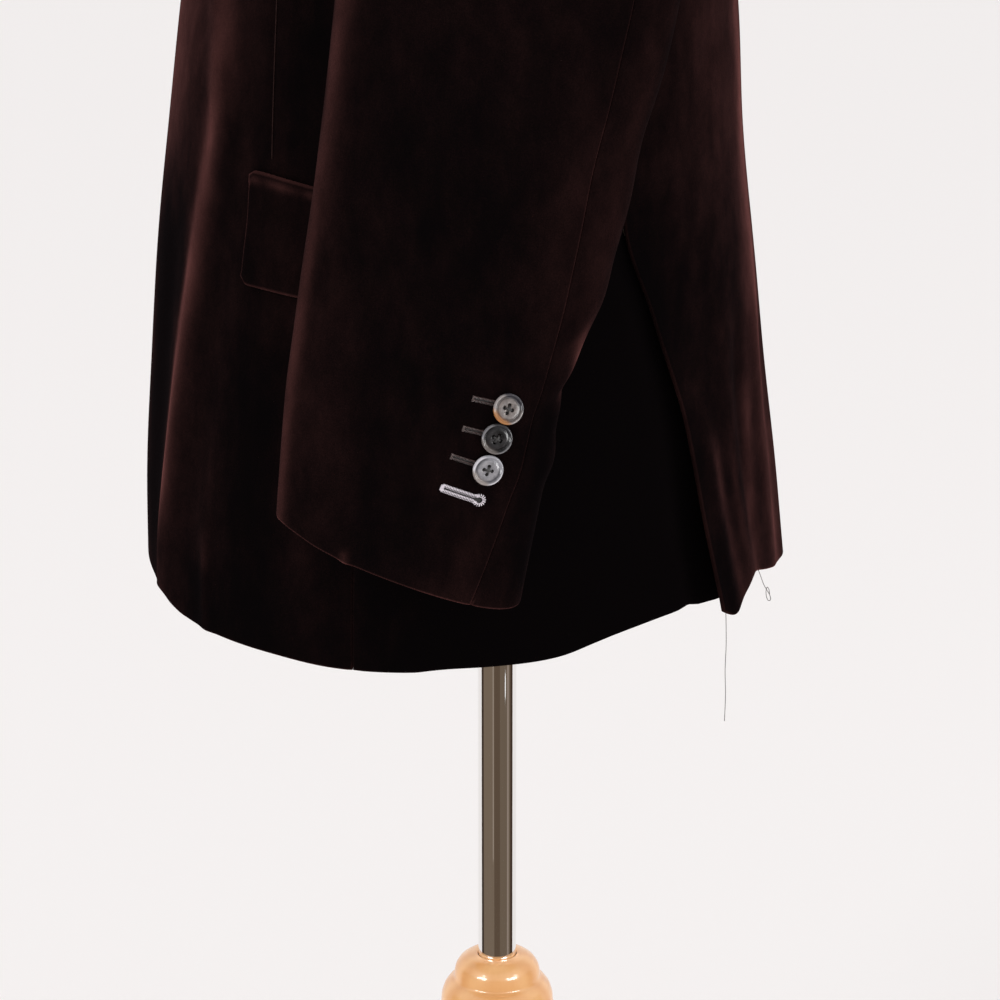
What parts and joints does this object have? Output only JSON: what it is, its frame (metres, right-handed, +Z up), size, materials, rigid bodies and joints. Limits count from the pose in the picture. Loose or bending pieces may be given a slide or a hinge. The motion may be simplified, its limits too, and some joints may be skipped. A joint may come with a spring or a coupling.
{
  "type": "sport coat on a dress form",
  "caption": "Single-breasted velvet sport coat with notch lapels, flap pockets, side vents and buttoned cuffs, worn by a limbless dress form on a pole and turned wooden stand.",
  "frame": {"origin": "centre of the round wooden foot's flat underside, on the pole's axis, at floor level", "axes": "+Z up; the coat's front faces -Y; +X is the coat's own left side"},
  "size_m": [0.5458, 0.3781, 1.422],
  "materials": {
    "velvet": "dark brown cotton velvet",
    "form_cover": "plain cloth stretched over the form",
    "pole": "polished",
    "wood": "turned, clear gloss varnish",
    "horn": "horn effect, polished"
  },
  "bodies": {
    "root": {"front_left": "velvet", "front_right": "velvet", "side_body_left": "velvet", "side_body_right": "velvet", "back_left": "velvet", "back_right": "velvet", "top_sleeve_left": "velvet", "top_sleeve_right": "velvet", "under_sleeve_left": "velvet", "under_sleeve_right": "velvet", "pocket_flap_left": "velvet", "pocket_flap_right": "velvet", "lapel_left": "velvet", "lapel_right": "velvet", "collar_stand": "velvet", "collar_fall": "velvet", "front_button": "horn", "sleeve_button_left_upper": "horn", "sleeve_button_right_upper": "horn", "sleeve_button_left_middle": "horn", "sleeve_button_right_middle": "horn", "sleeve_button_left_lower": "horn", "sleeve_button_right_lower": "horn", "dress_form": "form_cover", "pole": "pole", "stand": "wood"}
  },
  "joints": []
}
